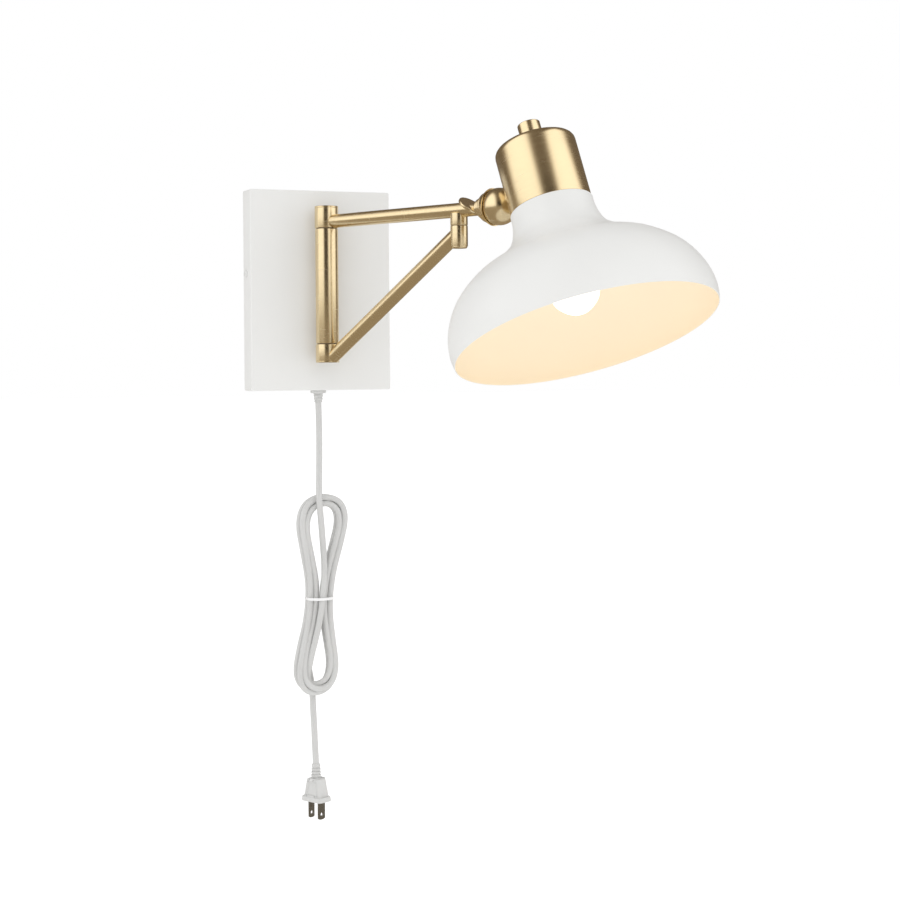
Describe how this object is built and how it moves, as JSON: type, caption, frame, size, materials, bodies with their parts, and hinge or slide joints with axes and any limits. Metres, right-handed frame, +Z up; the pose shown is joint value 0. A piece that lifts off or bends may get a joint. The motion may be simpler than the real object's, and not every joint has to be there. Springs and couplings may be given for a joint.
{
  "type": "swing arm wall sconce",
  "caption": "Plug-in wall lamp with a triangular swinging brass arm, a tilting domed white shade and a cord hank with a plug.",
  "frame": {"origin": "centre of the canopy's back, on the wall", "axes": "+Z up, +X to the right when facing the wall, -Y out of the wall into the room"},
  "size_m": [0.2922, 0.4118, 0.6001],
  "materials": {
    "white_powder_coat": "satin powder coat",
    "zinc_steel": "bright zinc",
    "white_screw": "painted",
    "satin_brass": "satin brushed",
    "nylon": "moulded",
    "white_vinyl": "smooth vinyl",
    "plug_plastic": "moulded vinyl",
    "tie_plastic": "smooth",
    "nickel_blade": "nickel plated",
    "connector_plastic": "moulded",
    "holder_plastic": "moulded phenolic",
    "shell_brass": "plain",
    "lamp_cap_aluminium": "plain",
    "frosted_glass": "frosted, lit"
  },
  "bodies": {
    "wall_mount": {"canopy": "white_powder_coat", "wall_bracket": "zinc_steel", "canopy_side_screws": "white_screw", "wire_connectors": "connector_plastic", "cord_gland": "white_vinyl", "gland_nut": "nylon", "cord_tail": "white_vinyl", "barrel_tube": "satin_brass", "upper_hinge_bush": "nylon", "lower_hinge_bush": "nylon", "hinge_rod": "zinc_steel", "upper_thrust_washer": "nylon", "lower_thrust_washer": "nylon", "upper_standoff": "satin_brass", "lower_standoff": "satin_brass", "standoff_screws": "zinc_steel", "cord_upper_run": "white_vinyl", "cord_hank": "white_vinyl", "hank_tie": "tie_plastic", "cord_lower_run": "white_vinyl", "plug_strain_relief": "white_vinyl", "plug_body": "plug_plastic", "plug_blades": "nickel_blade"},
    "swing_arm": {"arm_upper_sleeve": "satin_brass", "arm_lower_sleeve": "satin_brass", "upper_sleeve_cap": "satin_brass", "lower_sleeve_cap": "satin_brass", "arm_level_tube": "satin_brass", "arm_brace_tube": "satin_brass", "outer_joint_stub": "satin_brass", "outer_joint_sleeve": "satin_brass", "outer_joint_seal": "nylon", "outer_joint_bolt": "satin_brass", "arm_end_disc": "satin_brass", "knuckle_neck": "satin_brass", "arm_lead": "white_vinyl"},
    "knuckle": {"knuckle_socket": "satin_brass"},
    "lamp_head": {"knuckle_ball": "satin_brass", "ball_nipple": "satin_brass", "nipple_nut": "satin_brass", "switch_cup": "satin_brass", "rotary_switch": "holder_plastic", "shade": "white_powder_coat", "lamp_holder": "holder_plastic", "screw_shell": "shell_brass", "centre_contact": "zinc_steel", "shade_ring": "holder_plastic", "bulb_cap": "lamp_cap_aluminium", "bulb_glass": "frosted_glass"},
    "knob": {"switch_knob": "satin_brass", "switch_stem": "satin_brass"}
  },
  "joints": [
    {"name": "arm_swing", "type": "hinge", "parent": "wall_mount", "child": "swing_arm", "pos_m": [0, -0.039, 0], "axis": [0, 0, 1], "range_deg": [-95, 45]},
    {"name": "head_roll", "type": "hinge", "parent": "swing_arm", "child": "knuckle", "pos_m": [0.086, -0.22343, 0.06], "axis": [0.4226, -0.9063, 0], "range_deg": [-56.6, 63.4]},
    {"name": "head_tilt", "type": "hinge", "parent": "knuckle", "child": "lamp_head", "pos_m": [0.086, -0.22343, 0.06], "axis": [-0.9047, -0.4219, 0.0593], "range_deg": [-46.1, 48.9]},
    {"name": "switch_turn", "type": "hinge", "parent": "lamp_head", "child": "knob", "pos_m": [0.10295, -0.25302, 0.10797], "axis": [-0.102, 0.3497, 0.9313], "continuous": true}
  ]
}
